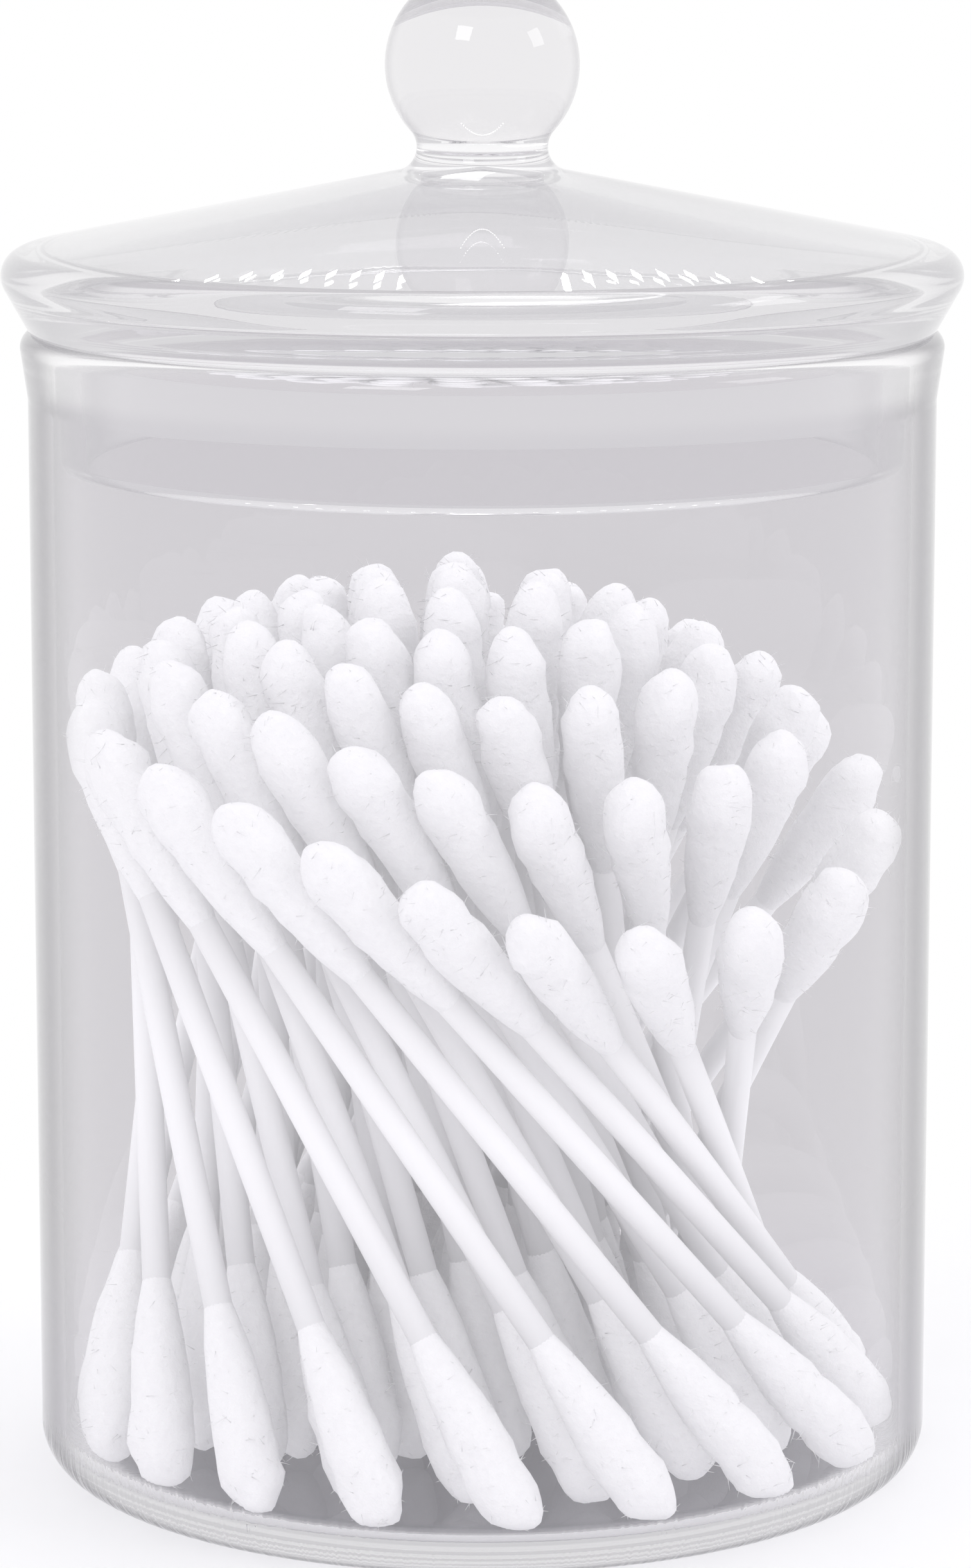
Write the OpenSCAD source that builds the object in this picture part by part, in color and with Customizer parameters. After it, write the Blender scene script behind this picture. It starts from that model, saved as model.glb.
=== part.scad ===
// Glass beauty jar: a blown cylinder with a lift-off lid, holding a twisted sheaf of cotton swabs.
// Millimetres, +Z up, origin at the centre of the base.

/* [Jar] */
// Outside diameter of the blown wall
jar_d = 75; // [66:0.5:82]
// Height from the base to the flat seat on the rim
jar_h = 96; // [90:1:120]
// Thickness of the wall
jar_wall = 2; // [1.5:0.1:2.6]
// Thickness of the floor
floor_t = 2.6; // [2:0.1:5]
// Outside radius of the corner between wall and base
base_r = 3.5; // [2:0.25:6]
// Inside radius of the corner between wall and floor
floor_r = 2; // [1:0.25:3]
// How far the fire-polished lip stands out from the wall
lip_out = 0.6; // [0.2:0.1:1.2]
// Height over which the wall flares out to the lip
lip_flare_h = 4.2; // [2:0.2:8]
// Radius of the lip's outer edge
lip_r = 1.4; // [0.8:0.1:1.8]

/* [Lid] */
// How far the lid's rounded edge stands out from the jar's wall
lid_over = 2.1; // [1.2:0.1:4]
// Thickness of the lid's glass, which is also the radius of its rounded edge
lid_wall = 2.1; // [1.6:0.1:2.6]
// Height of the middle of the rounded edge above the seat
edge_rise = 4.5; // [3.8:0.1:8]
// Slope of the cone in degrees
cone_slope = 11.5; // [6:0.5:20]
// How far the skirt reaches down into the mouth
skirt_depth = 11; // [7:0.5:14]
// Gap between the skirt and the mouth, on the radius
skirt_clear = 0.4; // [0.2:0.05:0.8]
// How much the skirt draws in towards its lower edge, on the radius
skirt_draw = 0.3; // [0:0.05:0.6]

/* [Knob] */
// Diameter of the glass ball
knob_d = 16; // [12:0.5:24]
// Diameter of the neck at its narrowest
neck_d = 10.8; // [7:0.2:12]
// Radius of the hollow curve between cone, neck and ball
neck_curve = 2; // [1:0.25:4]

/* [Swabs] */
// Length of a swab over both buds
swab_l = 73; // [68:0.5:78]
// Diameter of the paper stick
stick_d = 2.3; // [1.8:0.1:2.8]
// Largest diameter of a cotton bud
bud_d = 5; // [4.5:0.1:5.5]
// Length of a cotton bud
bud_l = 17.5; // [12:0.5:19]
// Length of a bud's rounded end, from its tip to where it is thickest
bud_end_l = 4.2; // [3:0.2:5]
// Thickness of the cotton where it runs out on the stick
bud_edge = 0.15; // [0.05:0.05:0.4]

/* [Sheaf] */
// Turn of the most twisted swabs about the jar's axis, from foot to head, in degrees
twist_most = 97; // [75:1:100]
// Turn of the least twisted swabs, across the jar from those
twist_least = 57; // [50:1:75]
// A small unevenness of the turn around the sheaf
twist_wave = 1.5; // [0:0.5:2]
// How far the middle of the sheaf leans to the back
sheaf_lean = 1; // [0:0.25:1.5]
// Free space between the outer buds and the jar's wall and floor corner
wall_gap = 0.15; // [0.1:0.05:0.5]
// Least free space between neighbours in a ring
side_gap = 0.05; // [0.05:0.05:0.5]
// Free space between one ring of buds and the next
ring_gap = 0.3; // [0.2:0.1:1]
// Free space under the feet of the swabs
foot_gap = 0.1; // [0.05:0.05:0.3]
// How far a swab inside the outer ring may have been pulled up along its own length
pull_up = 0.9; // [0:0.1:2.5]

/* [Hidden] */

round_fn = 96;
arc_step = 7.5;
bud_arc_step = 18;
bud_taper_steps = 4;
glass_colour = [0.86, 0.88, 0.92, 0.4];
stick_colour = [0.95, 0.95, 0.96];
cotton_colour = [0.98, 0.98, 0.98];

// Jar
jar_r = jar_d / 2;
mouth_r = jar_r - jar_wall;
lip_edge_r = jar_r + lip_out;
mouth_edge_r = jar_wall / 4;

// Lid, from the seat upwards
seat_z = jar_h;
seat_inset = 0.1;
seat_r = jar_r - seat_inset;
seat_edge_r = 0.3;
skirt_r = mouth_r - skirt_clear;
skirt_corner_r = skirt_clear / 2;
skirt_foot_z = seat_z - skirt_depth;
skirt_foot_r = skirt_r - skirt_draw;
edge_c = [jar_r + lid_over - lid_wall, seat_z + edge_rise];
under_slant = edge_c - [seat_r, seat_z];
under_angle = atan2(under_slant[0], under_slant[1]) + asin(lid_wall / norm(under_slant));
inner_edge_r = lid_wall * 0.4;
shoulder_z = seat_z + lid_wall * 0.7;
shoulder_r = lid_wall;
skirt_foot_round = lid_wall * 0.45;

// Ball and neck: the hollow curve touches both the cone and the ball
knob_r = knob_d / 2;
curve_c_r = neck_d / 2 + neck_curve;
curve_c_z = cone_z(curve_c_r) + neck_curve / cos(cone_slope);
knob_z = curve_c_z + sqrt(pow(knob_r + neck_curve, 2) - pow(curve_c_r, 2));
knob_tilt = atan2(knob_z - curve_c_z, curve_c_r);

// Swabs
bud_r = bud_d / 2;
bud_taper_l = bud_l - bud_end_l;
bud_edge_r = stick_d / 2 + bud_edge;
bud_fullness = 2.2;
swab_span = swab_l - 2 * bud_end_l;

// Sheaf: the outer ring keeps clear of wall and floor corner, each inner ring of the shafts outside it
lean_limit = 0.8;
lean_turn = 2 * asin(min(1, lean_limit * swab_span / (2 * (mouth_r - bud_r))));
twist_fit = min(1, lean_turn / (twist_most + twist_wave));
most_turn = twist_fit * (twist_most + twist_wave);
most_lean = 2 * (mouth_r - bud_r) * sin(most_turn / 2) / swab_span;
out_lean = most_lean * sin(most_turn / 2);
upright = sqrt(1 - pow(most_lean, 2));
corner_lean = (out_lean + upright) / sqrt(2);
wall_room = end_reach(out_lean) + wall_gap;
corner_room = sqrt(2) * (end_reach(corner_lean) + wall_gap) + (2 - sqrt(2)) * floor_r
    - foot_gap - end_reach(upright);
sheaf_r = mouth_r - max(wall_room, corner_room);
lean_share = 0.38;
lean_room = lean_share * bud_r * most_lean / upright;
core_r = (bud_d + ring_gap) / sqrt(3);
rings = ring_radii(sheaf_r);
most_at = -10;
twist_focus = 1.5;
ring_shift = 0.3;
ring_turn = 17;
lean_angle = 120;
wave_count = 3;
wave_phase = 40;
pull_seed = 4;
core_first = 4;
way_step = 10;
room_steps = 12;
ring_sizes = [for (k = [0:len(rings) - 1]) ring_size(k)];

// Height of the cone's upper face at radius r
function cone_z(r) =
    edge_c[1] + lid_wall / cos(cone_slope) + (edge_c[0] - r) * tan(cone_slope);

// Height of the cone's under face at radius r
function cone_under_z(r) = cone_z(r) - lid_wall / cos(cone_slope);

// Points on an arc about c from angle a0 to a1
function arc(c, r, a0, a1, step = arc_step) =
    let (steps = max(2, ceil(abs(a1 - a0) / step)))
    [for (i = [0:steps]) let (a = a0 + (a1 - a0) * i / steps) c + r * [cos(a), sin(a)]];

// Points that round the corner at b, between the sides from a and to c, with radius r
function rounded(a, b, c, r) =
    let (u = (a - b) / norm(a - b),
         v = (c - b) / norm(c - b),
         half = acos(u * v) / 2,
         centre = b + (u + v) / norm(u + v) * r / sin(half),
         from = b + u * r / tan(half) - centre,
         to = b + v * r / tan(half) - centre,
         a0 = atan2(from[1], from[0]),
         turn = atan2(from[0] * to[1] - from[1] * to[0], from * to))
    arc(centre, r, a0, a0 + turn);

// A revolve of a half outline, given as [radius, height] points
module turned(points) {
    rotate_extrude($fn = round_fn) polygon(points);
}

// Radii of the rings of the sheaf, from the wall inwards: 0 is a single swab in the middle
function ring_radii(r) =
    let (inner = r - bud_d - ring_gap - lean_room * r / sheaf_r)
    inner < 0 ? [r] :
    inner < core_r ? [r, 0] : concat([r], ring_radii(inner));

// Turn of a swab whose middle lies at angle way, less where the jar is too wide for the swabs' length
function turn_at(way) =
    twist_fit * (twist_least
        + (twist_most - twist_least) * pow((1 + cos(way - most_at)) / 2, twist_focus)
        + twist_wave * cos(wave_count * way + wave_phase));

// Reach of a bud's rounded end from where it is thickest, in a direction whose cosine with the swab is given
function end_reach(along) = sqrt(pow(bud_end_l * along, 2) + pow(bud_r, 2) * (1 - pow(along, 2)));

// Radius of the swab at a length z from where a bud is thickest, towards the stick
function swab_at(z) =
    z > bud_taper_l ? stick_d / 2 :
    bud_edge_r + (bud_r - bud_edge_r) * (1 - pow(z / bud_taper_l, bud_fullness));

// Where the lower and the upper bud are thickest, for a swab of ring k with its middle at angle way
function line_at(k, way) =
    let (r = rings[k],
         turn = turn_at(way),
         middle = [-k * ring_shift, 0],
         lean = sheaf_lean * (1 - r / sheaf_r) * [cos(lean_angle), sin(lean_angle)],
         foot = middle + r * [cos(way + turn / 2), sin(way + turn / 2)],
         head = middle + r * [cos(way - turn / 2), sin(way - turn / 2)] + lean,
         across = head - foot,
         rise = sqrt(pow(swab_span, 2) - across * across),
         foot_z = floor_t + foot_gap + end_reach(rise / swab_span))
    [[foot[0], foot[1], foot_z], [head[0], head[1], foot_z + rise]];

// How far a swab of ring k may be pulled up
function pull_of(k) = k == 0 ? 0 : pull_up;

// Angle about the jar's axis that a swab needs at a length z from where its buds are thickest
function angle_needed(k, way, z) =
    let (a = line_at(k, way),
         b = line_at(k, way + 1),
         along = (a[1] - a[0]) / swab_span,
         swing = (b[1] - b[0]) / swab_span - along,
         feet = norm(cross(b[0] - a[0] + z * swing, along)),
         heads = norm(cross(b[1] - a[1] - z * swing, along)),
         free = min(feet, heads) * 180 / PI)
    2 * asin(min(1, (swab_at(max(0, z - pull_of(k) / 2)) + side_gap / 2) / free));

// Number of swabs that stand side by side in ring k
function ring_size(k) =
    rings[k] == 0 ? 1 :
    floor(360 / max([
        for (way = [0:way_step:360 - way_step])
        for (i = [0:room_steps])
        angle_needed(k, way, swab_span / 2 * i / room_steps)
    ]));

// The line of swab j of ring k, pulled up by its own amount
function swab_line(k, j) =
    let (n = ring_sizes[k],
         line = line_at(k, 360 * (j + (k % 2) / 2) / n + ring_turn * k),
         pull = pull_of(k) * rands(0, 1, n, pull_seed + k)[j] * (line[1] - line[0]) / swab_span)
    [line[0] + pull, line[1] + pull];

// Stands children, made along +Z from the origin, on a swab's line
module on_line(line) {
    way = line[1] - line[0];
    translate(line[0])
        rotate([0, acos(way[2] / norm(way)), atan2(way[1], way[0])])
            children();
}

// Wound cotton, thickest at the origin, with a rounded end below and running out along the stick above
module bud() {
    round_end = [for (p = arc([0, 0], 1, -90, 0, bud_arc_step)) [p[0] * bud_r, p[1] * bud_end_l]];
    taper = [
        for (i = [1:bud_taper_steps])
        let (z = bud_taper_l * i / bud_taper_steps)
        [swab_at(z), z]
    ];
    turned(concat(round_end, taper, [[0, bud_taper_l]]));
}

module ring_sticks(k) {
    for (j = [0:ring_sizes[k] - 1])
        on_line(swab_line(k, j))
            translate([0, 0, bud_taper_l])
                cylinder(d = stick_d, h = swab_span - 2 * bud_taper_l, $fn = round_fn);
}

module ring_buds(k) {
    for (j = [0:ring_sizes[k] - 1])
        on_line(swab_line(k, j)) {
            bud();
            translate([0, 0, swab_span]) mirror([0, 0, 1]) bud();
        }
}

// The blown glass cylinder with a flat base, rounded corners and a fire-polished lip
module jar() {
    flare_foot = [jar_r, jar_h - lip_r - lip_flare_h];
    flare_head = [lip_edge_r, jar_h - lip_r];
    lip_top = [lip_edge_r, jar_h];
    mouth_top = [mouth_r, jar_h];
    floor_corner = [mouth_r, floor_t];
    color(glass_colour)
        turned(concat(
            [[0, 0]],
            rounded([0, 0], [jar_r, 0], flare_foot, base_r),
            [flare_foot],
            rounded(flare_head, lip_top, mouth_top, lip_r),
            rounded(lip_top, mouth_top, floor_corner, mouth_edge_r),
            rounded(mouth_top, floor_corner, [0, floor_t], floor_r),
            [[0, floor_t]]
        ));
}

// The lid: skirt, rounded edge, cone, neck and ball, fused as one piece of glass
module lid() {
    under_end = edge_c + lid_wall * [cos(under_angle), -sin(under_angle)];
    seat_out = [seat_r, seat_z];
    seat_in = [skirt_r, seat_z];
    foot_out = [skirt_foot_r, skirt_foot_z];
    foot_in = [skirt_foot_r - lid_wall, skirt_foot_z];
    shoulder = [skirt_r - lid_wall, shoulder_z];
    cone_inside = [0, cone_under_z(0)];
    color(glass_colour)
        turned(concat(
            arc([0, knob_z], knob_r, 90, -knob_tilt),
            arc([curve_c_r, curve_c_z], neck_curve, 180 - knob_tilt, 270 - cone_slope),
            arc(edge_c, lid_wall, 90 - cone_slope, -under_angle),
            rounded(under_end, seat_out, seat_in, seat_edge_r),
            rounded(seat_out, seat_in, foot_out, skirt_corner_r),
            rounded(seat_in, foot_out, foot_in, skirt_foot_round),
            rounded(foot_out, foot_in, shoulder, skirt_foot_round),
            rounded(foot_in, shoulder, edge_c, shoulder_r),
            rounded(shoulder, edge_c, cone_inside, inner_edge_r),
            [cone_inside]
        ));
}

module outer_ring_sticks() { color(stick_colour) ring_sticks(0); }
module outer_ring_buds() { color(cotton_colour) ring_buds(0); }
module second_ring_sticks() { color(stick_colour) ring_sticks(1); }
module second_ring_buds() { color(cotton_colour) ring_buds(1); }
module third_ring_sticks() { color(stick_colour) ring_sticks(2); }
module third_ring_buds() { color(cotton_colour) ring_buds(2); }
module fourth_ring_sticks() { color(stick_colour) ring_sticks(3); }
module fourth_ring_buds() { color(cotton_colour) ring_buds(3); }

// The rings inside the fourth, down to the swab in the middle
module core_sticks() {
    color(stick_colour)
        for (k = [core_first:len(rings) - 1])
            ring_sticks(k);
}

module core_buds() {
    color(cotton_colour)
        for (k = [core_first:len(rings) - 1])
            ring_buds(k);
}

jar();
lid();
outer_ring_sticks();
outer_ring_buds();
second_ring_sticks();
second_ring_buds();
third_ring_sticks();
third_ring_buds();
fourth_ring_sticks();
fourth_ring_buds();
core_sticks();
core_buds();
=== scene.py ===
import math
import random

import bmesh
import bpy
import numpy as np
from mathutils import Matrix, Vector, noise


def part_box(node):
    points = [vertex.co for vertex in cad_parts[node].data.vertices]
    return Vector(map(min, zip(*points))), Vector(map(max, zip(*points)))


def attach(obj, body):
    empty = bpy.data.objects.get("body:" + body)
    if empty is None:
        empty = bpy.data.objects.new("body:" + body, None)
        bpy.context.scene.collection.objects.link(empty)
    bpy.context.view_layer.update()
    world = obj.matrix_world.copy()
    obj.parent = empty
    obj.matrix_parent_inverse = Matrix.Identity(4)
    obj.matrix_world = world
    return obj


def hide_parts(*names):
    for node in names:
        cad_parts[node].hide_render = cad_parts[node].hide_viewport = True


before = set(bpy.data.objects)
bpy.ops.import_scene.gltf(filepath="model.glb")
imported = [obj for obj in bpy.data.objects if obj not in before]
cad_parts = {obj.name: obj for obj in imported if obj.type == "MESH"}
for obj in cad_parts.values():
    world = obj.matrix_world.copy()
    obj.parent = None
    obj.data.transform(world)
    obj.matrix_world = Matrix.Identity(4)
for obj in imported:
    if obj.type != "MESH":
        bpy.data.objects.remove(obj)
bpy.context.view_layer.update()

MM = 0.001
scene = bpy.context.scene

# Camera: a long lens a little above the rim, looking down on the front of the jar. The photograph
# cuts off the top of the ball, and so does this frame.
PHOTO_H = 2442
LENS_PX = 9070
CAMERA_AT = (0.26 * MM, -479.7 * MM, 146.2 * MM)
LOOK_DOWN = math.radians(10.465)
SENSOR = 36.0

camera_data = bpy.data.cameras.new("photo_camera")
camera_data.sensor_width = SENSOR
camera_data.lens = LENS_PX / PHOTO_H * SENSOR
camera = bpy.data.objects.new("photo_camera", camera_data)
camera.location = CAMERA_AT
camera.rotation_euler = (math.radians(90) - LOOK_DOWN, 0, 0)
scene.collection.objects.link(camera)
scene.camera = camera

# Jar: a cylinder blown from clear glass, with a flat base, a rounded corner and a lip that was
# melted round in the flame. It stands on its base and holds everything else.
JAR_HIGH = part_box("jar")[1]
RIM_Z = JAR_HIGH.z
LIP_EDGE_R = JAR_HIGH.x
LIP_OUT = 0.6 * MM
JAR_R = LIP_EDGE_R - LIP_OUT
JAR_WALL = 2.0 * MM
MOUTH_R = JAR_R - JAR_WALL
FLOOR_T = 2.6 * MM
BASE_R = 3.5 * MM
FLOOR_R = 2.0 * MM
LIP_R = 1.4 * MM
LIP_FLARE_H = 4.2 * MM
MOUTH_EDGE_R = 0.5 * MM
GLASS_STEPS = 240
ARC_STEP = math.radians(5)
EDGE_HOLD = 0.25 * MM
MERGE = 0.001 * MM
NEAR_TINT = (0.97, 0.965, 0.975, 1.0)
FAR_TINT = (0.65, 0.635, 0.66, 1.0)
# Painted shade: the floor of the base and its rounded corner get darker tints that stand in for the shade
# under the jar.
BASE_PAINTED_SHADE = (0.31, 0.305, 0.325, 1.0)
CORNER_PAINTED_SHADE = (0.72, 0.715, 0.73, 1.0)
# Painted light: the lip is left nearly clear, so its band renders lighter than the wall.
LIP_PAINTED_LIGHT = (1.0, 0.995, 1.0, 1.0)
# Painted shade: a darker tint at the sides of the jar, where the eye looks along the wall.
JAR_SIDE_PAINTED_SHADE = (0.22, 0.215, 0.23, 1.0)
SIDE_FROM = 0.54
SIDE_TO = 0.78
BASE_EDGE_R = 32.5 * MM
BASE_TOP = 4.0 * MM
LIP_FOOT = 91.5 * MM
ZONE_BLUR = 1.0 * MM
SWELL_DETAIL = 1.0
STREAK_DETAIL = 2.0
STREAK_SHARE = 0.25
STREAK_STRETCH = (0.15, 0.15, 1.0)
STREAK_SCALE = 160.0
JAR_SWELL_SCALE = 45.0
RIPPLE = 0.02
RIPPLE_H = 1.0 * MM
LEVEL = (1, 1, 0)
CORNER_STREAKS = 55.0
CORNER_STREAK_H = 0.15 * MM
GLASS_IOR = 1.47
SHADOW_TINT = (0.985, 0.985, 0.988, 1.0)
# Painted light: past this many bounces, a path inside the glass ends in a glow of LONG_PATH_LIGHT.
LONG_PATH = 5.5
LONG_PATH_LIGHT = (0.72, 0.715, 0.73, 1.0)


def arc(centre, radius, start, end):
    """Points on an arc from angle start to angle end, as (radius, height) vectors."""
    steps = max(3, math.ceil(abs(end - start) / ARC_STEP))
    angles = [start + (end - start) * i / steps for i in range(steps + 1)]
    return [centre + radius * Vector((math.cos(a), math.sin(a))) for a in angles]


def rounded(before, corner, after, radius):
    """Points that round a corner of an outline."""
    u = (before - corner).normalized()
    v = (after - corner).normalized()
    half = u.angle(v) / 2
    centre = corner + (u + v).normalized() * radius / math.sin(half)
    first = corner + u * radius / math.tan(half) - centre
    last = corner + v * radius / math.tan(half) - centre
    start = math.atan2(first.y, first.x)
    turn = math.atan2(first.x * last.y - first.y * last.x, first.dot(last))
    return arc(centre, radius, start, start + turn)


def held(outline):
    """The outline with two more points on each long side, which keep its smooth shading to the ends."""
    points = [outline[0]]
    for a, b in zip(outline, outline[1:]):
        side = b - a
        if side.length > 4 * EDGE_HOLD:
            step = side.normalized() * EDGE_HOLD
            points += [a + step, b - step]
        points.append(b)
    return points


def spun(bm, profile, steps):
    """Spins a profile once round the +Z axis into a closed skin that faces outwards."""
    bmesh.ops.spin(
        bm, geom=profile, cent=(0, 0, 0), axis=(0, 0, 1), angle=math.tau, steps=steps, use_merge=True
    )
    bmesh.ops.remove_doubles(bm, verts=bm.verts, dist=MERGE)
    bmesh.ops.recalc_face_normals(bm, faces=bm.faces)


def turned(name, outline, steps):
    """A closed smooth piece, spun about the jar's axis from a half outline that starts and ends on it."""
    bm = bmesh.new()
    verts = [bm.verts.new((p.x, 0, p.y)) for p in held(outline)]
    edges = [bm.edges.new(pair) for pair in zip(verts, verts[1:])]
    spun(bm, verts + edges, steps)
    return finished(name, bm)


def finished(name, bm):
    """A smooth-shaded object at the origin from a bmesh."""
    mesh = bpy.data.meshes.new(name)
    bm.to_mesh(mesh)
    bm.free()
    mesh.shade_smooth()
    piece = bpy.data.objects.new(name, mesh)
    scene.collection.objects.link(piece)
    return piece


def blown_ripple_group():
    """Height of the faint unevenness that blown glass keeps: broad swells and fine drawn streaks."""
    group = bpy.data.node_groups.new("blown_ripple", "ShaderNodeTree")
    group.interface.new_socket("Vector", in_out="INPUT", socket_type="NodeSocketVector")
    group.interface.new_socket("Swell Scale", in_out="INPUT", socket_type="NodeSocketFloat")
    group.interface.new_socket("Height", in_out="OUTPUT", socket_type="NodeSocketFloat")
    nodes, links = group.nodes, group.links
    given = nodes.new("NodeGroupInput")
    result = nodes.new("NodeGroupOutput")
    swell = nodes.new("ShaderNodeTexNoise")
    swell.inputs["Detail"].default_value = SWELL_DETAIL
    stretch = nodes.new("ShaderNodeMapping")
    stretch.inputs["Scale"].default_value = STREAK_STRETCH
    streak = nodes.new("ShaderNodeTexNoise")
    streak.inputs["Scale"].default_value = STREAK_SCALE
    streak.inputs["Detail"].default_value = STREAK_DETAIL
    add = nodes.new("ShaderNodeMath")
    add.operation = "MULTIPLY_ADD"
    add.inputs[1].default_value = STREAK_SHARE
    links.new(given.outputs["Vector"], swell.inputs["Vector"])
    links.new(given.outputs["Swell Scale"], swell.inputs["Scale"])
    links.new(given.outputs["Vector"], stretch.inputs["Vector"])
    links.new(stretch.outputs["Vector"], streak.inputs["Vector"])
    links.new(streak.outputs["Fac"], add.inputs[0])
    links.new(swell.outputs["Fac"], add.inputs[2])
    links.new(add.outputs["Value"], result.inputs["Height"])
    return group


BLOWN_RIPPLE = blown_ripple_group()


def glass_zones_group():
    """Where a point lies on a turned piece of glass: masks for beyond a radius and above a height."""
    group = bpy.data.node_groups.new("glass_zones", "ShaderNodeTree")
    group.interface.new_socket("Vector", in_out="INPUT", socket_type="NodeSocketVector")
    group.interface.new_socket("Radius", in_out="INPUT", socket_type="NodeSocketFloat")
    group.interface.new_socket("Height", in_out="INPUT", socket_type="NodeSocketFloat")
    group.interface.new_socket("Beyond", in_out="OUTPUT", socket_type="NodeSocketFloat")
    group.interface.new_socket("Above", in_out="OUTPUT", socket_type="NodeSocketFloat")
    nodes, links = group.nodes, group.links
    given = nodes.new("NodeGroupInput")
    result = nodes.new("NodeGroupOutput")
    flat = nodes.new("ShaderNodeVectorMath")
    flat.operation = "MULTIPLY"
    flat.inputs[1].default_value = LEVEL
    away = nodes.new("ShaderNodeVectorMath")
    away.operation = "LENGTH"
    upright = nodes.new("ShaderNodeSeparateXYZ")
    links.new(given.outputs["Vector"], flat.inputs[0])
    links.new(flat.outputs["Vector"], away.inputs[0])
    links.new(given.outputs["Vector"], upright.inputs["Vector"])
    for measure, limit, mask in (
        (away.outputs["Value"], "Radius", "Beyond"),
        (upright.outputs["Z"], "Height", "Above"),
    ):
        past = nodes.new("ShaderNodeMath")
        past.operation = "SUBTRACT"
        soft = nodes.new("ShaderNodeMapRange")
        soft.interpolation_type = "SMOOTHSTEP"
        soft.inputs["From Min"].default_value = -ZONE_BLUR
        soft.inputs["From Max"].default_value = ZONE_BLUR
        links.new(measure, past.inputs[0])
        links.new(given.outputs[limit], past.inputs[1])
        links.new(past.outputs["Value"], soft.inputs["Value"])
        links.new(soft.outputs["Result"], result.inputs[mask])
    return group


GLASS_ZONES = glass_zones_group()


def zone(material, radius, height):
    """A node in a material with the masks for beyond a radius and above a height."""
    nodes, links = material.node_tree.nodes, material.node_tree.links
    masks = nodes.new("ShaderNodeGroup")
    masks.node_tree = GLASS_ZONES
    masks.inputs["Radius"].default_value = radius
    masks.inputs["Height"].default_value = height
    links.new(nodes["Texture Coordinate"].outputs["Object"], masks.inputs["Vector"])
    return masks


def blend(material, mask, colour, over):
    """A colour that gives way to another where the mask is 1; each is a plain colour or a socket."""
    links = material.node_tree.links
    mix = material.node_tree.nodes.new("ShaderNodeMix")
    mix.data_type = "RGBA"
    links.new(mask, mix.inputs[0])
    for socket, value in ((mix.inputs[6], colour), (mix.inputs[7], over)):
        if isinstance(value, tuple):
            socket.default_value = value
        else:
            links.new(value, socket)
    return mix.outputs[2]


def inner_face(material, inner):
    """A mask for the inner face of the wall and the floor."""
    inside = material.node_tree.nodes.new("ShaderNodeMath")
    inside.operation = "SUBTRACT"
    inside.use_clamp = True
    material.node_tree.links.new(inner.outputs["Above"], inside.inputs[0])
    material.node_tree.links.new(inner.outputs["Beyond"], inside.inputs[1])
    return inside.outputs["Value"]


def far_side(material, inside):
    """A mask for the glass behind what stands in the jar: the eye leaves the jar through it."""
    nodes, links = material.node_tree.nodes, material.node_tree.links
    facing = nodes.new("ShaderNodeNewGeometry")
    unlike = nodes.new("ShaderNodeMath")
    unlike.operation = "SUBTRACT"
    far = nodes.new("ShaderNodeMath")
    far.operation = "ABSOLUTE"
    links.new(facing.outputs["Backfacing"], unlike.inputs[0])
    links.new(inside, unlike.inputs[1])
    links.new(unlike.outputs["Value"], far.inputs[0])
    return far.outputs["Value"]


def along_wall(material):
    """A mask for the sides of a piece, where the eye looks along the glass and painted shade goes."""
    nodes, links = material.node_tree.nodes, material.node_tree.links
    look = nodes.new("ShaderNodeLayerWeight")
    along = nodes.new("ShaderNodeMapRange")
    along.interpolation_type = "SMOOTHSTEP"
    along.inputs["From Min"].default_value = SIDE_FROM
    along.inputs["From Max"].default_value = SIDE_TO
    links.new(look.outputs["Facing"], along.inputs["Value"])
    return along.outputs["Result"]


def tint(material, colour, side, shade_colour):
    """Gives a glass its tint, deepened by painted shade where the side mask is 1."""
    nodes, links = material.node_tree.nodes, material.node_tree.links
    deep = nodes.new("ShaderNodeMix")
    deep.data_type = "RGBA"
    deep.blend_type = "MULTIPLY"
    deep.inputs[7].default_value = shade_colour
    links.new(side, deep.inputs[0])
    links.new(colour, deep.inputs[6])
    links.new(deep.outputs[2], nodes["Principled BSDF"].inputs["Base Color"])


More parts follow.
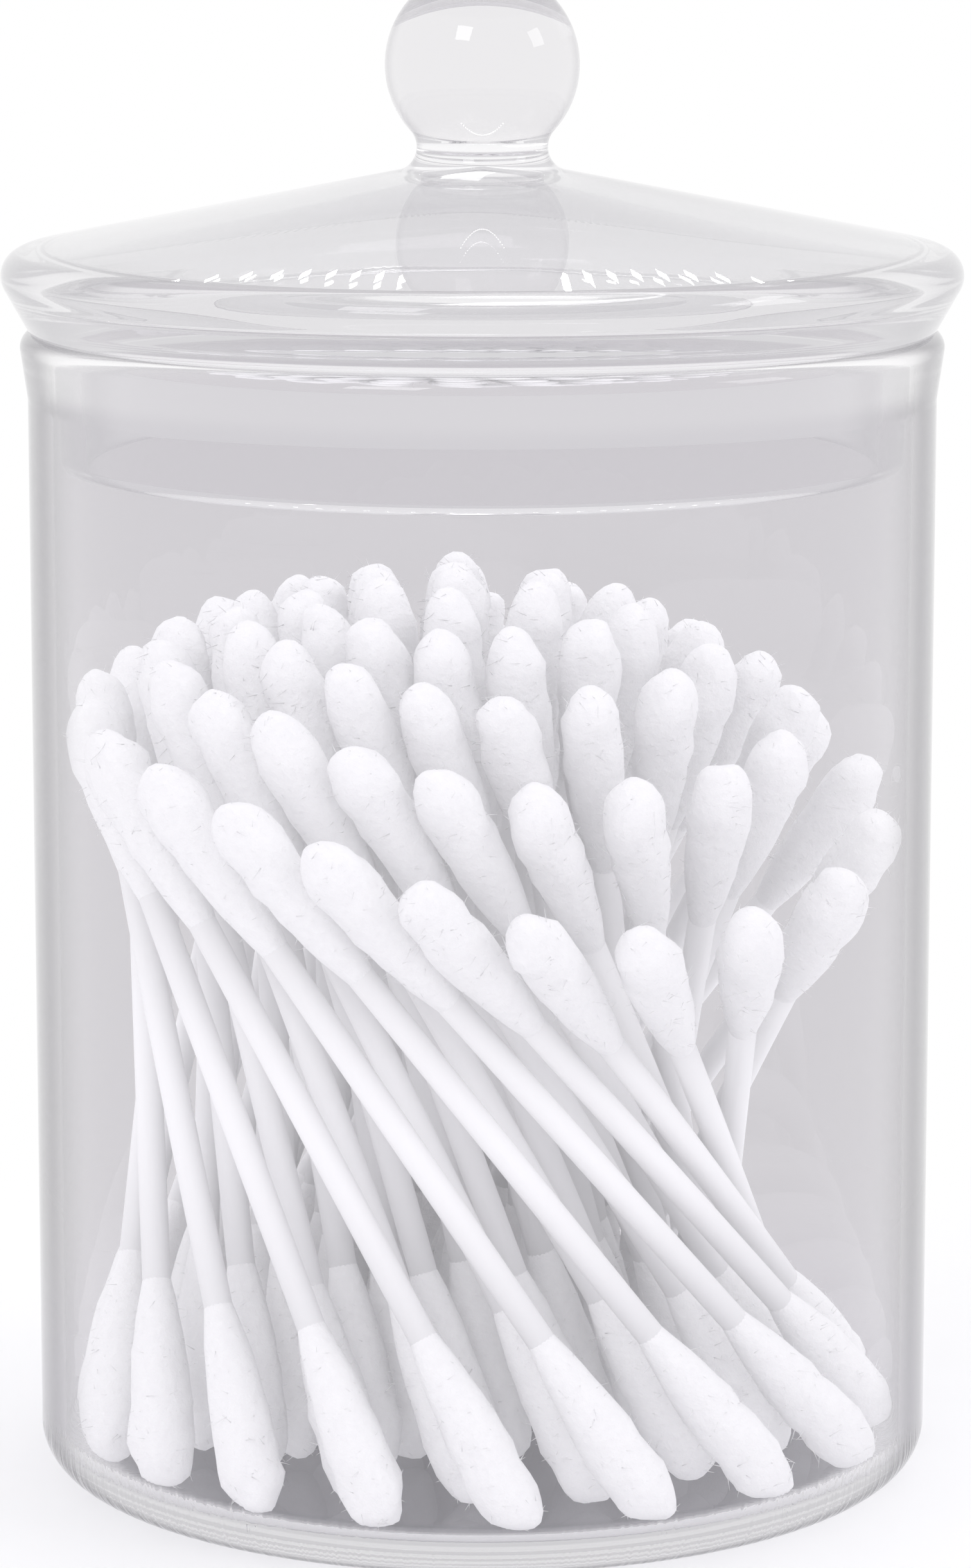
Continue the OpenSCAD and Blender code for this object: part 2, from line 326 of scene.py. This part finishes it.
def glass_material(name, swell_scale):
    """Clear glass with blown unevenness. Lamps shine through it without caustics, and where a path has
    run longer than LONG_PATH inside the glass, the glass glows a fixed grey instead: painted light."""
    material = bpy.data.materials.new(name)
    material.use_nodes = True
    nodes, links = material.node_tree.nodes, material.node_tree.links
    glass = nodes["Principled BSDF"]
    glass.inputs["Roughness"].default_value = 0.0
    glass.inputs["IOR"].default_value = GLASS_IOR
    glass.inputs["Transmission Weight"].default_value = 1.0
    place = nodes.new("ShaderNodeTexCoord")
    uneven = nodes.new("ShaderNodeGroup")
    uneven.node_tree = BLOWN_RIPPLE
    uneven.inputs["Swell Scale"].default_value = swell_scale
    bump = nodes.new("ShaderNodeBump")
    bump.inputs["Strength"].default_value = RIPPLE
    bump.inputs["Distance"].default_value = RIPPLE_H
    links.new(place.outputs["Object"], uneven.inputs["Vector"])
    links.new(uneven.outputs["Height"], bump.inputs["Height"])
    links.new(bump.outputs["Normal"], glass.inputs["Normal"])
    path = nodes.new("ShaderNodeLightPath")
    unseen = nodes.new("ShaderNodeMath")
    unseen.operation = "MAXIMUM"
    clear = nodes.new("ShaderNodeBsdfTransparent")
    clear.inputs["Color"].default_value = SHADOW_TINT
    mix = nodes.new("ShaderNodeMixShader")
    links.new(path.outputs["Is Shadow Ray"], unseen.inputs[0])
    links.new(path.outputs["Is Diffuse Ray"], unseen.inputs[1])
    links.new(unseen.outputs["Value"], mix.inputs["Fac"])
    links.new(glass.outputs["BSDF"], mix.inputs[1])
    links.new(clear.outputs["BSDF"], mix.inputs[2])
    # Painted light: the glass glows grey where the path has run long.
    trapped = nodes.new("ShaderNodeMath")
    trapped.operation = "GREATER_THAN"
    trapped.inputs[1].default_value = LONG_PATH
    long_path_glow = nodes.new("ShaderNodeEmission")
    long_path_glow.inputs["Color"].default_value = LONG_PATH_LIGHT
    short = nodes.new("ShaderNodeMixShader")
    links.new(path.outputs["Ray Depth"], trapped.inputs[0])
    links.new(trapped.outputs["Value"], short.inputs["Fac"])
    links.new(mix.outputs["Shader"], short.inputs[1])
    links.new(long_path_glow.outputs["Emission"], short.inputs[2])
    links.new(short.outputs["Shader"], nodes["Material Output"].inputs["Surface"])
    material.cycles.emission_sampling = "NONE"
    return material


def jar_outline():
    """Half outline of the jar, from the middle of the base round to the middle of the floor."""
    base_middle = Vector((0, 0))
    base_corner = Vector((JAR_R, 0))
    flare_foot = Vector((JAR_R, RIM_Z - LIP_R - LIP_FLARE_H))
    flare_head = Vector((LIP_EDGE_R, RIM_Z - LIP_R))
    lip_top = Vector((LIP_EDGE_R, RIM_Z))
    mouth_top = Vector((MOUTH_R, RIM_Z))
    floor_corner = Vector((MOUTH_R, FLOOR_T))
    floor_middle = Vector((0, FLOOR_T))
    return (
        [base_middle]
        + rounded(base_middle, base_corner, flare_foot, BASE_R)
        + [flare_foot]
        + rounded(flare_head, lip_top, mouth_top, LIP_R)
        + rounded(lip_top, mouth_top, floor_corner, MOUTH_EDGE_R)
        + rounded(mouth_top, floor_corner, floor_middle, FLOOR_R)
        + [floor_middle]
    )


jar = turned("blown_jar", jar_outline(), GLASS_STEPS)
jar_glass = glass_material("jar_glass", JAR_SWELL_SCALE)
base_zone = zone(jar_glass, BASE_EDGE_R, BASE_TOP)
lip_zone = zone(jar_glass, BASE_EDGE_R, LIP_FOOT)
# Painted shade on the floor and the rounded corner of the base.
base_shade_mix = blend(jar_glass, base_zone.outputs["Beyond"], BASE_PAINTED_SHADE, CORNER_PAINTED_SHADE)
inner_zone = zone(jar_glass, JAR_R - JAR_WALL / 2, FLOOR_T / 2)
inside = inner_face(jar_glass, inner_zone)
wall_tint = blend(jar_glass, far_side(jar_glass, inside), NEAR_TINT, FAR_TINT)
jar_tint = blend(jar_glass, base_zone.outputs["Above"], base_shade_mix, wall_tint)
# Painted light: the lip above LIP_FOOT is left nearly clear.
jar_tint = blend(jar_glass, lip_zone.outputs["Above"], jar_tint, LIP_PAINTED_LIGHT)

nodes, links = jar_glass.node_tree.nodes, jar_glass.node_tree.links
# Painted shade on the outer face of the wall where the eye looks along the glass.
outer_side = nodes.new("ShaderNodeMath")
outer_side.operation = "SUBTRACT"
outer_side.use_clamp = True
links.new(along_wall(jar_glass), outer_side.inputs[0])
links.new(inside, outer_side.inputs[1])
tint(jar_glass, jar_tint, outer_side.outputs["Value"], JAR_SIDE_PAINTED_SHADE)

flat = nodes.new("ShaderNodeVectorMath")
flat.operation = "MULTIPLY"
flat.inputs[1].default_value = LEVEL
around = nodes.new("ShaderNodeVectorMath")
around.operation = "NORMALIZE"
streaks = nodes.new("ShaderNodeTexNoise")
streaks.inputs["Scale"].default_value = CORNER_STREAKS
streaks.inputs["Detail"].default_value = SWELL_DETAIL
in_corner = nodes.new("ShaderNodeMath")
in_corner.operation = "SUBTRACT"
in_corner.use_clamp = True
fold = nodes.new("ShaderNodeBump")
fold.inputs["Distance"].default_value = CORNER_STREAK_H
links.new(nodes["Texture Coordinate"].outputs["Object"], flat.inputs[0])
links.new(flat.outputs["Vector"], around.inputs[0])
links.new(around.outputs["Vector"], streaks.inputs["Vector"])
links.new(base_zone.outputs["Beyond"], in_corner.inputs[0])
links.new(base_zone.outputs["Above"], in_corner.inputs[1])
links.new(in_corner.outputs["Value"], fold.inputs["Strength"])
links.new(streaks.outputs["Fac"], fold.inputs["Height"])
links.new(nodes["Bump"].outputs["Normal"], fold.inputs["Normal"])
links.new(fold.outputs["Normal"], nodes["Principled BSDF"].inputs["Normal"])
jar.data.materials.append(jar_glass)
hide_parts("jar")
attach(jar, "jar")

# Lid: one piece of the same glass, a shallow cone with a fat rounded edge, an open skirt that drops
# into the mouth, and a solid ball fused on over a short neck. It only rests on the rim.
LID_LOW, LID_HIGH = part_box("lid")
LID_WALL = 2.1 * MM
LID_SEAT_LIFT = 0.02 * MM
SEAT_Z = RIM_Z + LID_SEAT_LIFT
SEAT_R = JAR_R - 0.1 * MM
SEAT_EDGE_R = 0.3 * MM
SKIRT_CLEAR = 0.4 * MM
SKIRT_R = MOUTH_R - SKIRT_CLEAR
SKIRT_FOOT_Z = LID_LOW.z
SKIRT_FOOT_R = SKIRT_R - 0.3 * MM
SKIRT_FOOT_ROUND = 0.45 * LID_WALL
EDGE_C = Vector((LID_HIGH.x - LID_WALL, RIM_Z + 4.5 * MM))
CONE_SLOPE = math.radians(11.5)
SHOULDER_Z = RIM_Z + 0.7 * LID_WALL
INNER_EDGE_R = 0.4 * LID_WALL
KNOB_R = 8.0 * MM
KNOB_Z = LID_HIGH.z - KNOB_R
NECK_R = 5.4 * MM
NECK_CURVE = 2.0 * MM
CONE_TINT = (0.9, 0.895, 0.91, 1.0)
EDGE_TINT = (0.88, 0.875, 0.885, 1.0)
SKIRT_TINT = (0.95, 0.945, 0.955, 1.0)
NECK_TINT = (0.96, 0.955, 0.965, 1.0)
KNOB_TINT = (0.84, 0.83, 0.845, 1.0)
# Painted shade: a darker tint at the sides of the lid, where the eye looks along the glass.
LID_SIDE_PAINTED_SHADE = (0.7, 0.695, 0.71, 1.0)
CONE_EDGE_R = 34.5 * MM
NECK_EDGE_R = 9.0 * MM
SKIRT_TOP = 97.0 * MM
KNOB_FOOT = 112.0 * MM
LID_SWELL_SCALE = 60.0


def cone_under_z(radius):
    """Height of the cone's under face, which runs through the middle of the rounded edge."""
    return EDGE_C.y + (EDGE_C.x - radius) * math.tan(CONE_SLOPE)


def lid_outline():
    """Half outline of the lid, from the top of the ball round to the cone's under face."""
    ball_c = Vector((0, KNOB_Z))
    curve_r = NECK_R + NECK_CURVE
    curve_z = cone_under_z(curve_r) + (LID_WALL + NECK_CURVE) / math.cos(CONE_SLOPE)
    neck_c = Vector((curve_r, curve_z))
    meet = math.atan2(KNOB_Z - curve_z, curve_r)
    slant = EDGE_C - Vector((SEAT_R, RIM_Z))
    under = math.atan2(slant.x, slant.y) + math.asin(LID_WALL / slant.length)
    under_end = EDGE_C + LID_WALL * Vector((math.cos(under), -math.sin(under)))
    seat_out = Vector((SEAT_R, SEAT_Z))
    seat_in = Vector((SKIRT_R, SEAT_Z))
    foot_out = Vector((SKIRT_FOOT_R, SKIRT_FOOT_Z))
    foot_in = Vector((SKIRT_FOOT_R - LID_WALL, SKIRT_FOOT_Z))
    shoulder = Vector((SKIRT_R - LID_WALL, SHOULDER_Z))
    inside_top = Vector((0, cone_under_z(0)))
    return (
        arc(ball_c, KNOB_R, math.radians(90), -meet)
        + arc(neck_c, NECK_CURVE, math.pi - meet, math.radians(270) - CONE_SLOPE)
        + arc(EDGE_C, LID_WALL, math.radians(90) - CONE_SLOPE, -under)
        + rounded(under_end, seat_out, seat_in, SEAT_EDGE_R)
        + rounded(seat_out, seat_in, foot_out, SKIRT_CLEAR / 2)
        + rounded(seat_in, foot_out, foot_in, SKIRT_FOOT_ROUND)
        + rounded(foot_out, foot_in, shoulder, SKIRT_FOOT_ROUND)
        + rounded(foot_in, shoulder, EDGE_C, LID_WALL)
        + rounded(shoulder, EDGE_C, inside_top, INNER_EDGE_R)
        + [inside_top]
    )


lid = turned("cone_lid", lid_outline(), GLASS_STEPS)
lid_glass = glass_material("lid_glass", LID_SWELL_SCALE)
cone_zone = zone(lid_glass, CONE_EDGE_R, SKIRT_TOP)
knob_zone = zone(lid_glass, NECK_EDGE_R, KNOB_FOOT)
neck_tint = blend(lid_glass, knob_zone.outputs["Beyond"], NECK_TINT, CONE_TINT)
cone_tint = blend(lid_glass, cone_zone.outputs["Beyond"], neck_tint, EDGE_TINT)
lid_tint = blend(lid_glass, cone_zone.outputs["Above"], SKIRT_TINT, cone_tint)
lid_tint = blend(lid_glass, knob_zone.outputs["Above"], lid_tint, KNOB_TINT)
# Painted shade at the sides of the lid.
tint(lid_glass, lid_tint, along_wall(lid_glass), LID_SIDE_PAINTED_SHADE)
lid.data.materials.append(lid_glass)
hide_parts("lid")
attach(lid, "lid")

# Paper sticks: white paper rolled tightly into a stiff round stick, one in each swab. They cross
# in a twisted sheaf, with their feet on the floor of the jar.
RINGS = ("outer_ring", "second_ring", "third_ring", "fourth_ring", "core")
STICK_STEPS = 18
STICK_R = 1.15 * MM
STICK_INTO_BUD = 3.0 * MM
PAPER_LIGHT = (0.99, 0.988, 0.992, 1.0)
PAPER_SHADE = (0.965, 0.962, 0.968, 1.0)
PAPER_GRAIN = 2500.0
PAPER_GRAIN_H = 0.05 * MM
LET_THROUGH = 0.6


def islands(bm):
    """The separate solids of a bmesh, each as a list of vertices."""
    left = set(bm.verts)
    found = []
    while left:
        queue = [left.pop()]
        solid = []
        while queue:
            vert = queue.pop()
            solid.append(vert)
            for edge in vert.link_edges:
                other = edge.other_vert(vert)
                if other in left:
                    left.remove(other)
                    queue.append(other)
        found.append(solid)
    return found


def stick_lines(node):
    """Foot and head of each stick of a CAD node, read from the ends of its cylinders."""
    bm = bmesh.new()
    bm.from_mesh(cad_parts[node].data)
    bmesh.ops.remove_doubles(bm, verts=bm.verts, dist=MERGE)
    lines = []
    for solid in islands(bm):
        points = np.array([vert.co for vert in solid])
        middle = points.mean(axis=0)
        axis = np.linalg.svd(points - middle)[2][0]
        axis = axis * np.sign(axis[2])
        along = (points - middle) @ axis
        lines.append((Vector(middle + axis * along.min()), Vector(middle + axis * along.max())))
    bm.free()
    lines.sort(key=lambda line: math.atan2(line[0].y, line[0].x))
    return lines


def along_line(start, end):
    """Matrix that takes +Z from the origin to the line from start towards end."""
    turn = (end - start).to_track_quat("Z", "Y").to_matrix().to_4x4()
    return Matrix.Translation(start) @ turn


def let_light_through(material):
    """Lets a share of the light that wanders between the swabs pass through their thin fibres."""
    nodes, links = material.node_tree.nodes, material.node_tree.links
    path = nodes.new("ShaderNodeLightPath")
    share = nodes.new("ShaderNodeMath")
    share.operation = "MULTIPLY"
    share.inputs[1].default_value = LET_THROUGH
    clear = nodes.new("ShaderNodeBsdfTransparent")
    mix = nodes.new("ShaderNodeMixShader")
    links.new(path.outputs["Is Diffuse Ray"], share.inputs[0])
    links.new(share.outputs["Value"], mix.inputs["Fac"])
    links.new(nodes["Principled BSDF"].outputs["BSDF"], mix.inputs[1])
    links.new(clear.outputs["BSDF"], mix.inputs[2])
    links.new(mix.outputs["Shader"], nodes["Material Output"].inputs["Surface"])
    material.use_transparent_shadow = False


def paper_material():
    """Matt white rolled paper with a fine grain."""
    material = bpy.data.materials.new("rolled_paper")
    material.use_nodes = True
    nodes, links = material.node_tree.nodes, material.node_tree.links
    paper = nodes["Principled BSDF"]
    paper.inputs["Roughness"].default_value = 0.9
    paper.inputs["Specular IOR Level"].default_value = 0.1
    place = nodes.new("ShaderNodeTexCoord")
    grain = nodes.new("ShaderNodeTexNoise")
    grain.inputs["Scale"].default_value = PAPER_GRAIN
    grain.inputs["Detail"].default_value = 3.0
    bump = nodes.new("ShaderNodeBump")
    bump.inputs["Strength"].default_value = 0.25
    bump.inputs["Distance"].default_value = PAPER_GRAIN_H
    links.new(place.outputs["Object"], grain.inputs["Vector"])
    links.new(grain.outputs["Fac"], bump.inputs["Height"])
    links.new(bump.outputs["Normal"], paper.inputs["Normal"])
    white = blend(material, grain.outputs["Fac"], PAPER_SHADE, PAPER_LIGHT)
    links.new(white, paper.inputs["Base Color"])
    let_light_through(material)
    return material


PAPER = paper_material()
LINES = {ring: stick_lines(ring + "_sticks") for ring in RINGS}


def ring_of_sticks(ring):
    """All sticks of one ring as one piece, each reaching a little way into its buds."""
    bm = bmesh.new()
    for foot, head in LINES[ring]:
        length = (head - foot).length + 2 * STICK_INTO_BUD
        middle = along_line((foot + head) / 2, head)
        bmesh.ops.create_cone(
            bm,
            cap_ends=True,
            segments=STICK_STEPS,
            radius1=STICK_R,
            radius2=STICK_R,
            depth=length,
            matrix=middle,
        )
    piece = finished(ring + "_paper", bm)
    piece.data.materials.append(PAPER)
    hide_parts(ring + "_sticks")
    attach(piece, "jar")


for ring in RINGS:
    ring_of_sticks(ring)

# Cotton buds: loose white cotton wound onto both ends of each stick, fat and round at the end and
# running out along the stick, with a fuzz of fibres that stand off.
BUD_R = 2.5 * MM
BUD_L = 17.5 * MM
BUD_END_L = 4.2 * MM
BUD_TAPER_L = BUD_L - BUD_END_L
BUD_EDGE_R = STICK_R + 0.02 * MM
BUD_TUCK_R = 0.8 * STICK_R
BUD_TUCK_L = 0.8 * MM
BUD_FULLNESS = 2.2
BUD_STEPS = 20
BUD_END_STEPS = 7
BUD_TAPER_STEPS = 9
BUD_PATTERNS = 8
LUMP = 0.45 * MM
LUMP_SCALE = 480.0
FIBRES = 100
FIBRE_R = 0.045 * MM
FIBRE_L = (0.4 * MM, 1.5 * MM)
FIBRE_FROM = -0.97 * BUD_END_L
FIBRE_TO = 0.85 * BUD_TAPER_L
FIBRE_OUT = (0.25, 1.0)
FIBRE_SIDE = (0.2, 1.2)
FIBRE_TILT = (-0.6, 0.6)
LUMP_SHIFT = (31.7, 12.3, 7.9)
FLUFF_SCALE = 1300.0
FLUFF_DETAIL = 5.0
FLUFF_H = 0.3 * MM
# COTTON_SHADE is painted shade, given to the low parts of the cotton's fluff.
COTTON_LIGHT = (0.985, 0.983, 0.987, 1.0)
COTTON_SHADE = (0.95, 0.946, 0.956, 1.0)
rng = random.Random(5)


def bud_radius(height):
    """Radius of the wound cotton at a height above where it is thickest."""
    if height < 0:
        return BUD_R * math.sqrt(1 - (height / BUD_END_L) ** 2)
    return BUD_EDGE_R + (BUD_R - BUD_EDGE_R) * (1 - (height / BUD_TAPER_L) ** BUD_FULLNESS)


def bud_pattern(number):
    """One bud along +Z from where it is thickest, with its own lumps and fibres."""
    bm = bmesh.new()
    turns = np.linspace(-math.pi / 2, 0, BUD_END_STEPS)
    outline = [Vector((BUD_R * math.cos(a), BUD_END_L * math.sin(a))) for a in turns]
    heights = [BUD_TAPER_L * i / BUD_TAPER_STEPS for i in range(1, BUD_TAPER_STEPS + 1)]
    outline += [Vector((bud_radius(z), z)) for z in heights]
    outline += [Vector((BUD_TUCK_R, BUD_TAPER_L + BUD_TUCK_L)), Vector((0, BUD_TAPER_L + BUD_TUCK_L))]
    verts = [bm.verts.new((p.x, 0, p.y)) for p in outline]
    edges = [bm.edges.new(pair) for pair in zip(verts, verts[1:])]
    spun(bm, verts + edges, BUD_STEPS)
    bm.normal_update()
    shift = Vector([number * step for step in LUMP_SHIFT])
    for vert in bm.verts:
        fade = max(0.0, 1 - max(0.0, vert.co.z / BUD_TAPER_L))
        vert.co += vert.normal * LUMP * fade * noise.noise(vert.co * LUMP_SCALE + shift)
    for _ in range(FIBRES):
        z = rng.uniform(FIBRE_FROM, FIBRE_TO)
        a = rng.uniform(0, math.tau)
        root = Vector((math.cos(a), math.sin(a), 0)) * bud_radius(z) + Vector((0, 0, z))
        out = Vector((math.cos(a), math.sin(a), min(0.0, z) / BUD_END_L)).normalized()
        side = out.cross(Vector((0, 0, 1))).normalized() * rng.choice((-1, 1))
        way = out * rng.uniform(*FIBRE_OUT) + side * rng.uniform(*FIBRE_SIDE)
        way += Vector((0, 0, rng.uniform(*FIBRE_TILT)))
        length = rng.uniform(*FIBRE_L)
        middle = along_line(root, root + way) @ Matrix.Translation((0, 0, length / 2 - LUMP))
        bmesh.ops.create_cone(
            bm,
            cap_ends=True,
            segments=3,
            radius1=FIBRE_R,
            radius2=FIBRE_R / 4,
            depth=length,
            matrix=middle,
        )
    pattern = bpy.data.meshes.new("bud_pattern")
    bm.to_mesh(pattern)
    bm.free()
    return pattern


def cotton_material():
    """Soft white cotton wool: matt, slightly translucent, with fine wound fibres, and painted shade in
    the low parts of its fluff.
    """
    material = bpy.data.materials.new("cotton_wool")
    material.use_nodes = True
    nodes, links = material.node_tree.nodes, material.node_tree.links
    cotton = nodes["Principled BSDF"]
    cotton.inputs["Roughness"].default_value = 1.0
    cotton.inputs["Specular IOR Level"].default_value = 0.1
    cotton.inputs["Sheen Weight"].default_value = 0.1
    cotton.inputs["Sheen Roughness"].default_value = 0.6
    place = nodes.new("ShaderNodeTexCoord")
    fluff = nodes.new("ShaderNodeTexNoise")
    fluff.inputs["Scale"].default_value = FLUFF_SCALE
    fluff.inputs["Detail"].default_value = FLUFF_DETAIL
    fluff.inputs["Roughness"].default_value = 0.65
    bump = nodes.new("ShaderNodeBump")
    bump.inputs["Strength"].default_value = 0.7
    bump.inputs["Distance"].default_value = FLUFF_H
    # Painted shade: the low parts of the fluff bump take the darker COTTON_SHADE.
    depth = nodes.new("ShaderNodeMapRange")
    depth.inputs["From Min"].default_value = 0.25
    depth.inputs["From Max"].default_value = 0.6
    links.new(place.outputs["Object"], fluff.inputs["Vector"])
    links.new(fluff.outputs["Fac"], bump.inputs["Height"])
    links.new(bump.outputs["Normal"], cotton.inputs["Normal"])
    links.new(fluff.outputs["Fac"], depth.inputs["Value"])
    white = blend(material, depth.outputs["Result"], COTTON_SHADE, COTTON_LIGHT)
    links.new(white, cotton.inputs["Base Color"])
    let_light_through(material)
    return material


COTTON = cotton_material()
PATTERNS = [bud_pattern(number) for number in range(BUD_PATTERNS)]


def ring_of_buds(ring):
    """All buds of one ring as one piece, each a turned copy of one of the patterns."""
    bm = bmesh.new()
    for foot, head in LINES[ring]:
        up = (head - foot).normalized()
        for end, way in ((foot, up), (head, -up)):
            middle = end - way * BUD_TAPER_L
            roll = Matrix.Rotation(rng.uniform(0, math.tau), 4, "Z")
            bm.verts.ensure_lookup_table()
            first = len(bm.verts)
            bm.from_mesh(rng.choice(PATTERNS))
            bm.verts.ensure_lookup_table()
            bmesh.ops.transform(bm, matrix=along_line(middle, end) @ roll, verts=bm.verts[first:])
    piece = finished(ring + "_cotton", bm)
    piece.data.materials.append(COTTON)
    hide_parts(ring + "_buds")
    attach(piece, "jar")


for ring in RINGS:
    ring_of_buds(ring)

# Studio: a plain white floor that keeps the jar's soft shadow, an even white surround, soft lamps
# above the front and the sides, and a bowed strip of small lamps that the lid mirrors as dots.
FLOOR_HALF = 3.0
FLOOR_Z = -0.05 * MM
FLOOR_COLOUR = (0.95, 0.95, 0.955, 1.0)
SHADE_NEAR = 32.0 * MM
SHADE_FAR = 110.0 * MM
WHITE_NEAR = 0.15
WHITE_FAR = 1.0
STRIP_LAMPS = 24
STRIP_AT = Vector((0, 0.666, 0.486))
STRIP_W = 0.11
STRIP_BEND = 8.0
STRIP_LAMP_SIZE = 3.0 * MM
STRIP_LAMP_POWER = 0.0018
SURROUND_LIGHT = (0.98, 0.97, 1.0, 1.0)
SURROUND_STRENGTH = 0.98

scene.view_settings.view_transform = "Standard"
scene.cycles.transparent_max_bounces = 16
scene.cycles.diffuse_bounces = 3
scene.cycles.glossy_bounces = 14
scene.cycles.transmission_bounces = 14
scene.cycles.max_bounces = 16

floor_bm = bmesh.new()
bmesh.ops.create_grid(
    floor_bm, x_segments=1, y_segments=1, size=FLOOR_HALF, matrix=Matrix.Translation((0, 0, FLOOR_Z))
)
floor = finished("studio_floor", floor_bm)


def seen_directly(nodes, links):
    """A factor that is 1 for camera, mirror and glass rays, which see the white studio."""
    path = nodes.new("ShaderNodeLightPath")
    factor = path.outputs["Is Camera Ray"]
    for ray in ("Is Glossy Ray", "Is Transmission Ray"):
        either = nodes.new("ShaderNodeMath")
        either.operation = "MAXIMUM"
        links.new(factor, either.inputs[0])
        links.new(path.outputs[ray], either.inputs[1])
        factor = either.outputs["Value"]
    return factor


floor_material = bpy.data.materials.new("studio_floor")
floor_material.use_nodes = True
nodes, links = floor_material.node_tree.nodes, floor_material.node_tree.links
matt = nodes["Principled BSDF"]
matt.inputs["Base Color"].default_value = FLOOR_COLOUR
matt.inputs["Roughness"].default_value = 1.0
matt.inputs["Specular IOR Level"].default_value = 0.0
white = nodes.new("ShaderNodeEmission")
mix = nodes.new("ShaderNodeMixShader")
place = nodes.new("ShaderNodeTexCoord")
away = nodes.new("ShaderNodeVectorMath")
away.operation = "LENGTH"
spread = nodes.new("ShaderNodeMapRange")
spread.interpolation_type = "SMOOTHSTEP"
spread.inputs["From Min"].default_value = SHADE_NEAR
spread.inputs["From Max"].default_value = SHADE_FAR
spread.inputs["To Min"].default_value = WHITE_NEAR
spread.inputs["To Max"].default_value = WHITE_FAR
share = nodes.new("ShaderNodeMath")
share.operation = "MULTIPLY"
links.new(place.outputs["Object"], away.inputs[0])
links.new(away.outputs["Value"], spread.inputs["Value"])
links.new(spread.outputs["Result"], share.inputs[1])
links.new(seen_directly(nodes, links), share.inputs[0])
links.new(share.outputs["Value"], mix.inputs["Fac"])
links.new(matt.outputs["BSDF"], mix.inputs[1])
links.new(white.outputs["Emission"], mix.inputs[2])
links.new(mix.outputs["Shader"], nodes["Material Output"].inputs["Surface"])
floor_material.cycles.emission_sampling = "NONE"
floor.data.materials.append(floor_material)

world = bpy.data.worlds.new("studio_surround")
world.use_nodes = True
scene.world = world
nodes, links = world.node_tree.nodes, world.node_tree.links
lighting = nodes["Background"]
lighting.inputs["Color"].default_value = SURROUND_LIGHT
lighting.inputs["Strength"].default_value = SURROUND_STRENGTH
backdrop = nodes.new("ShaderNodeBackground")
backdrop.inputs["Color"].default_value = (1, 1, 1, 1)
mix = nodes.new("ShaderNodeMixShader")
links.new(seen_directly(nodes, links), mix.inputs["Fac"])
links.new(lighting.outputs["Background"], mix.inputs[1])
links.new(backdrop.outputs["Background"], mix.inputs[2])
links.new(mix.outputs["Shader"], nodes["World Output"].inputs["Surface"])


def softbox(name, at, size, power):
    """A square area lamp that faces the middle of the jar."""
    data = bpy.data.lights.new(name, "AREA")
    data.size = size
    data.energy = power
    lamp = bpy.data.objects.new(name, data)
    lamp.location = at
    lamp.rotation_euler = (Vector(at) - Vector((0, 0, RIM_Z / 2))).to_track_quat("Z", "Y").to_euler()
    scene.collection.objects.link(lamp)


softbox("front_softbox", (-0.35, -0.7, 0.75), 0.3, 1.2)
softbox("side_softbox", (0.75, -0.2, 0.5), 0.25, 0.5)
softbox("top_softbox", (0.1, 0.25, 0.95), 0.3, 0.6)
for side in np.linspace(-STRIP_W, STRIP_W, STRIP_LAMPS):
    at = STRIP_AT + Vector((side, 0, -STRIP_BEND * side**2))
    softbox("strip_lamp", at, STRIP_LAMP_SIZE, STRIP_LAMP_POWER)
